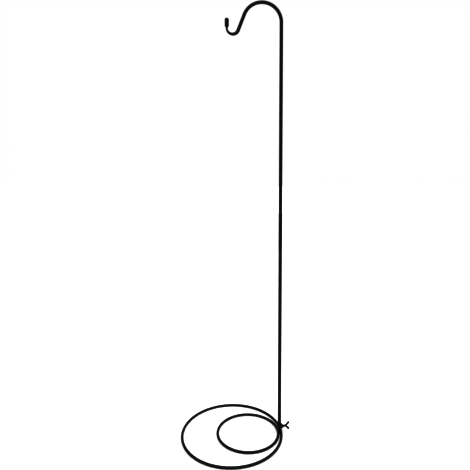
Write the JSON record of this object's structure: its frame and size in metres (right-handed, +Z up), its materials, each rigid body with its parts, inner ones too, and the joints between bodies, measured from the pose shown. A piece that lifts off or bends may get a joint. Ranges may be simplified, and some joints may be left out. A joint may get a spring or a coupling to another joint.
{
  "type": "hanging stand",
  "caption": "Free-standing black steel stand: a shepherd's hook on a sectional pole, clamped by a wing screw to a flat base of nested floor rings.",
  "frame": {"origin": "middle of the footprint's box, on the floor, almost under the hook", "axes": "+Z up along the pole, +X from the rings' centres towards the pole, so the hook reaches out towards -X"},
  "size_m": [0.3124, 0.2902, 1.2189],
  "materials": {
    "black_powder_coat": "semi-gloss black powder coat",
    "blackened_screw": "black zinc, semi-gloss",
    "plain_steel": "turned bright steel",
    "black_cap": "matt soft vinyl"
  },
  "bodies": {
    "base": {"outer_ring": "black_powder_coat", "inner_ring": "black_powder_coat", "pole_collar": "black_powder_coat", "weld_nut": "black_powder_coat"},
    "clamp_screw": {"wing_screw": "blackened_screw"},
    "lower_section": {"lower_pole": "black_powder_coat"},
    "upper_section": {"upper_pole": "black_powder_coat", "joining_pin": "plain_steel", "tip_cap": "black_cap"}
  },
  "joints": [
    {"name": "wing_screw_turn", "type": "hinge", "parent": "base", "child": "clamp_screw", "pos_m": [0.12626, 0, 0.0174], "axis": [0.9848, 0.1736, 0], "range_deg": [0, 990]},
    {"name": "pole_swivel", "type": "hinge", "parent": "base", "child": "lower_section", "pos_m": [0.12626, 0, 0], "axis": [0, 0, 1], "continuous": true},
    {"name": "upper_section_lift", "type": "slide", "parent": "lower_section", "child": "upper_section", "axis": [0, 0, 1], "range_m": [0, 0.08]}
  ]
}
